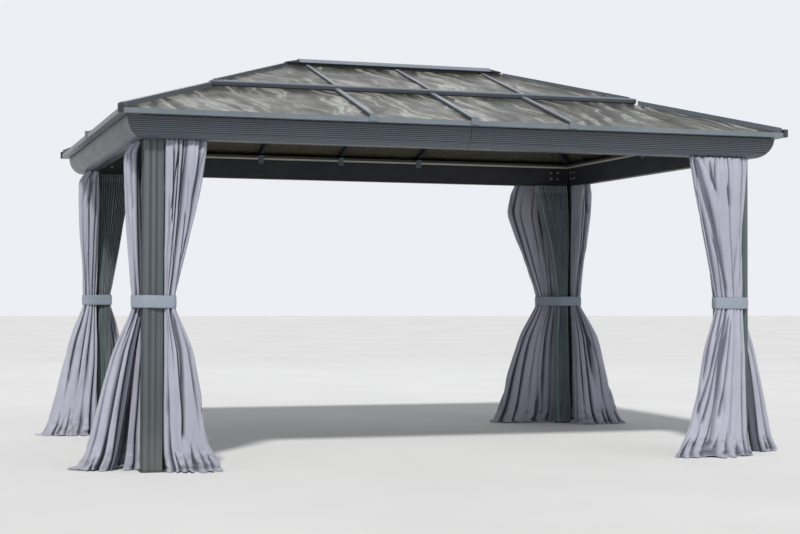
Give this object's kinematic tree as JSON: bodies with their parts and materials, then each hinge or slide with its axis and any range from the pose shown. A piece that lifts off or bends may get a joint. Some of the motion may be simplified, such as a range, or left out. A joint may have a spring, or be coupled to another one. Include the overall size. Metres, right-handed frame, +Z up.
{
  "type": "metal gazebo",
  "caption": "Rectangular hardtop garden gazebo with a two-tier hip roof on corner posts, with tied-back curtains and insect nets.",
  "frame": {"origin": "on the floor, under the middle of the roof", "axes": "+X along the long side towards the right end, +Y from the front to the back, +Z up"},
  "size_m": [4.6736, 3.02, 2.6542],
  "materials": {
    "slate_metal": "satin powder coat, slate grey",
    "light_trim": "satin powder coat, lighter grey",
    "dark_metal": "satin powder coat, near black",
    "cream_strip": "satin, cream beige",
    "zinc_bracket": "zinc plated",
    "smoked_sheet": "smoked twin-wall sheet with a soft sheen",
    "curtain_cloth": "woven polyester, lavender grey",
    "net_cloth": "fine insect mesh, dark green grey",
    "tie_cloth": "woven band, blue grey"
  },
  "bodies": {
    "root": {"front_left_post": "slate_metal", "front_right_post": "slate_metal", "back_left_post": "slate_metal", "back_right_post": "slate_metal", "front_beam": "slate_metal", "back_beam": "slate_metal", "left_beam": "slate_metal", "right_beam": "slate_metal", "lower_hips": "slate_metal", "upper_hips": "slate_metal", "front_eave_trim": "light_trim", "back_eave_trim": "light_trim", "left_eave_trim": "light_trim", "right_eave_trim": "light_trim", "front_rafters": "light_trim", "back_rafters": "light_trim", "side_rafters": "light_trim", "upper_tier_trim": "light_trim", "ridge_cap": "light_trim", "rafter_end_clips": "light_trim", "post_foot_plates": "dark_metal", "hip_end_caps": "dark_metal", "mid_purlins": "dark_metal", "ridge_beam": "dark_metal", "ridge_end_caps": "dark_metal", "curtain_rails": "dark_metal", "eave_closure_strips": "cream_strip", "rafter_brackets": "zinc_bracket", "front_roof_panels": "smoked_sheet", "back_roof_panels": "smoked_sheet", "left_roof_panels": "smoked_sheet", "right_roof_panels": "smoked_sheet", "front_curtain_left": "curtain_cloth", "front_curtain_right": "curtain_cloth", "back_curtain_left": "curtain_cloth", "back_curtain_right": "curtain_cloth", "left_curtain_front": "curtain_cloth", "left_curtain_back": "curtain_cloth", "right_curtain_front": "curtain_cloth", "right_curtain_back": "curtain_cloth", "front_left_net": "net_cloth", "front_right_net": "net_cloth", "back_left_net": "net_cloth", "back_right_net": "net_cloth", "curtain_ties": "tie_cloth"}
  },
  "joints": []
}
